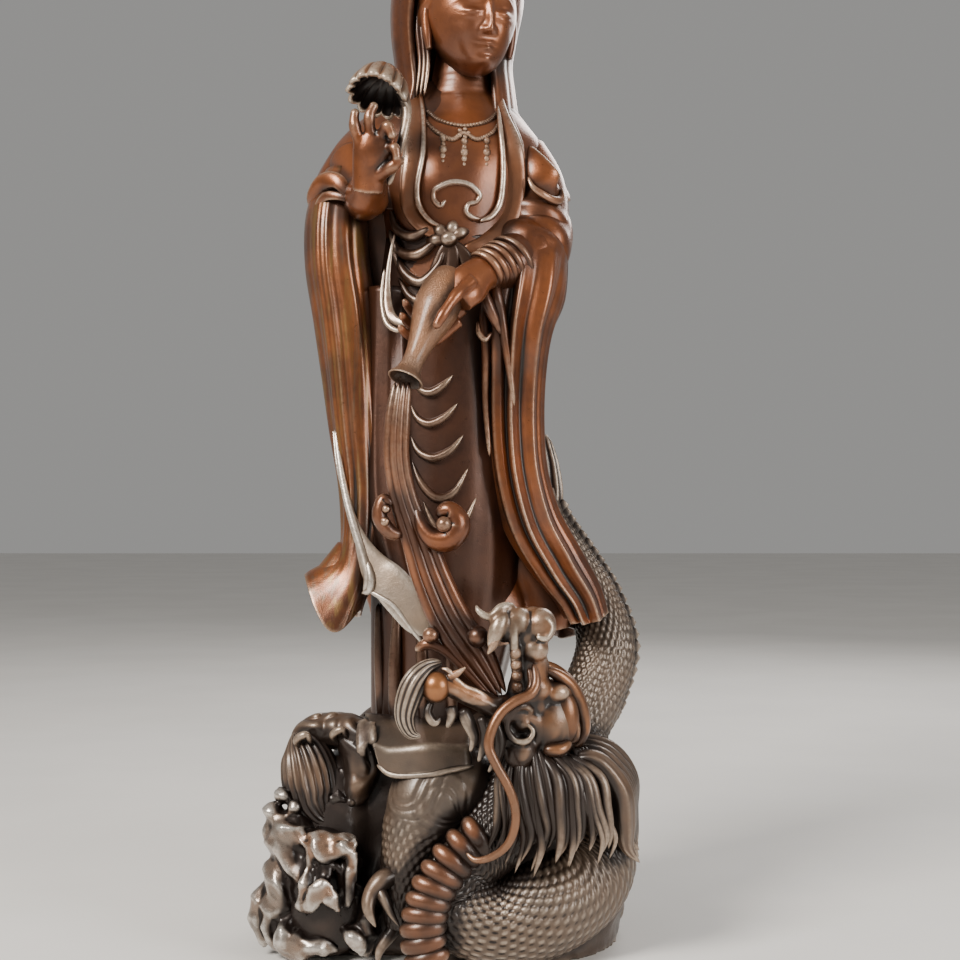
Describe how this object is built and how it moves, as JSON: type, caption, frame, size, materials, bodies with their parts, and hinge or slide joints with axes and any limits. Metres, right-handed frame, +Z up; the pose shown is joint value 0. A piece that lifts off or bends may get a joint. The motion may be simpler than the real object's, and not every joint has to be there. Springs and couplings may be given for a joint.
{
  "type": "guanyin figure",
  "caption": "Standing robed goddess pouring water from a vase into the mouth of a dragon coiled on a wave-washed rock, cast in one piece with its base; stands on its flat underside.",
  "frame": {"origin": "middle of the footprint on the ground, under the rock", "axes": "+Z up; the goddess and the dragon's head face -Y; +X is to the viewer's right"},
  "size_m": [0.1278, 0.1224, 0.357],
  "materials": {
    "bronze": "cast bronze with a glossy dark brown patina, rubbed to red-brown on the cloth and grey-brown on the dragon"
  },
  "bodies": {
    "root": {"guanyin_on_dragon": "bronze"}
  },
  "joints": []
}
